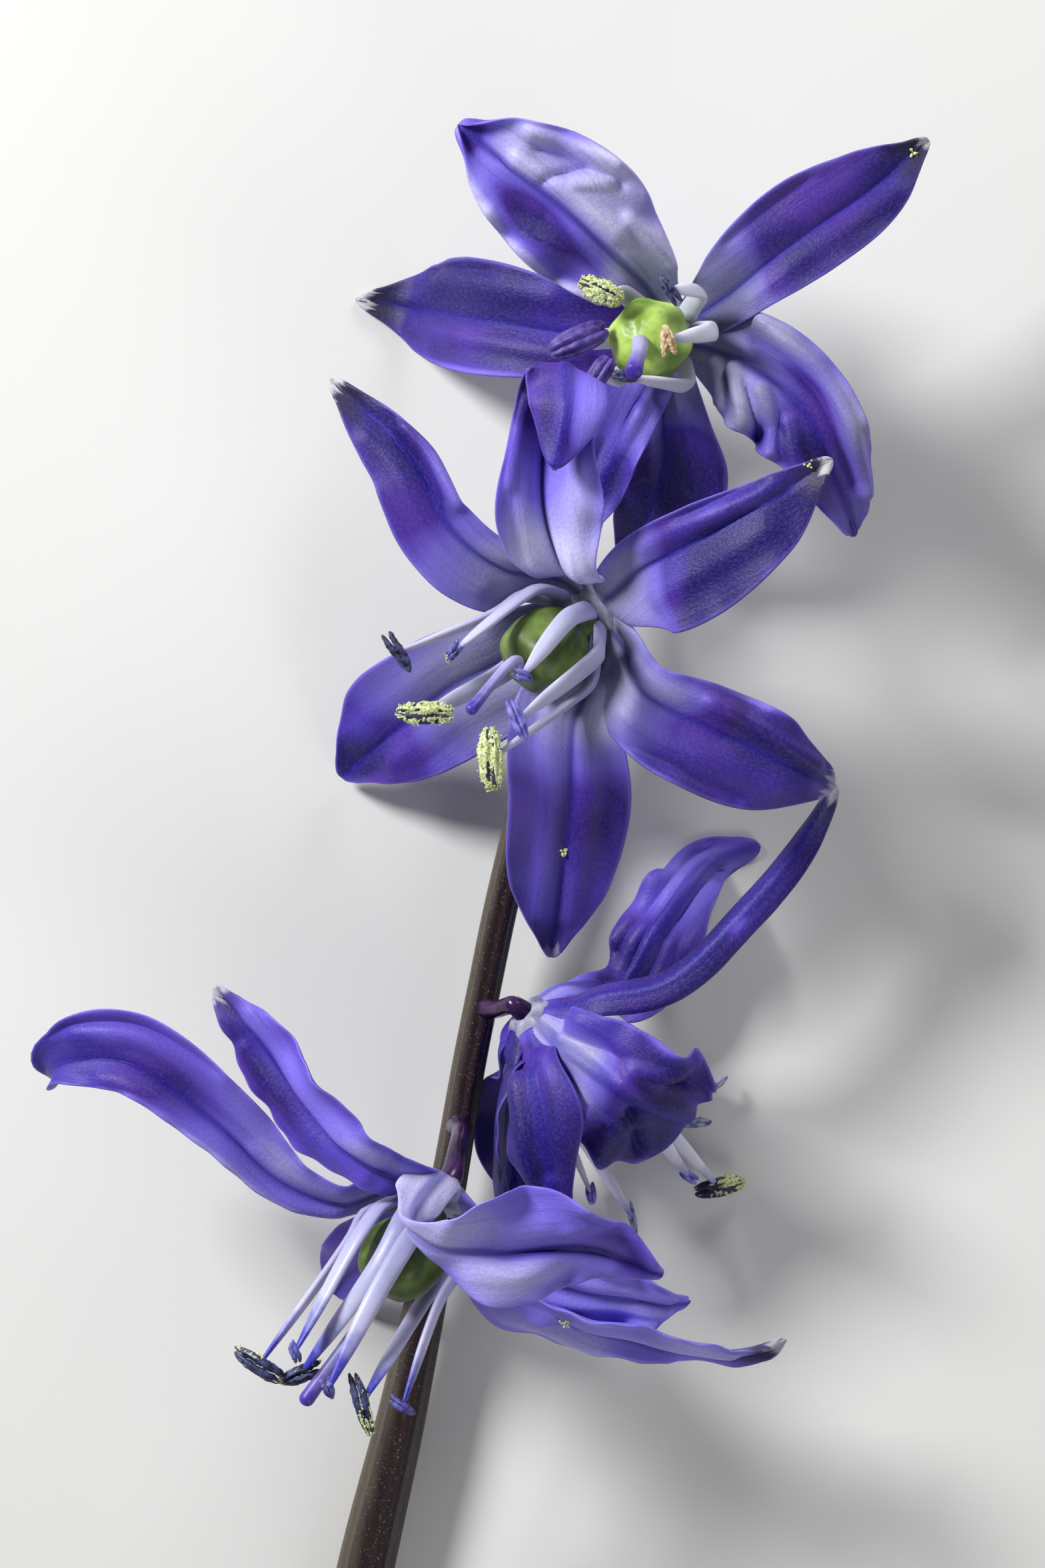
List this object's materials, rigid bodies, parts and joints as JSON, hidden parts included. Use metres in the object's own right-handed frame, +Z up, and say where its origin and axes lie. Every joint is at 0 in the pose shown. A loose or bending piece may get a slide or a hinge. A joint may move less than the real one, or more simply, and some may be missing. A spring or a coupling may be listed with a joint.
{
  "type": "siberian squill flower stem",
  "caption": "Cut stem of Siberian squill lying on a surface: nodding star-shaped violet-blue flowers on short purple stalks along a ridged brown stem.",
  "frame": {"origin": "on the surface that the part lies on, under the middle of its outline", "axes": "+Z up from the surface, +Y along the stem towards the top flower, +X to the right when the flowers are seen from above with the top flower away from the viewer"},
  "size_m": [0.0372, 0.089, 0.0161],
  "materials": {
    "petal": "satin, violet-blue living tissue with silvery-white bases",
    "stamen": "satin white filaments tinted blue, with navy anthers",
    "pistil": "waxy yellow-green",
    "pedicel": "glossy maroon-purple",
    "stem": "waxy olive-brown to maroon, ridged"
  },
  "bodies": {
    "root": {"stem": "stem", "pedicel_1": "pedicel", "pedicel_2": "pedicel", "pedicel_3": "pedicel", "pedicel_4": "pedicel", "flower_1_tepals": "petal", "flower_2_tepals": "petal", "flower_3_tepals": "petal", "flower_4_tepals": "petal", "flower_1_stamens": "stamen", "flower_2_stamens": "stamen", "flower_3_stamens": "stamen", "flower_4_stamens": "stamen", "flower_1_pistil": "pistil", "flower_2_pistil": "pistil", "flower_3_pistil": "pistil", "flower_4_pistil": "pistil"}
  },
  "joints": []
}
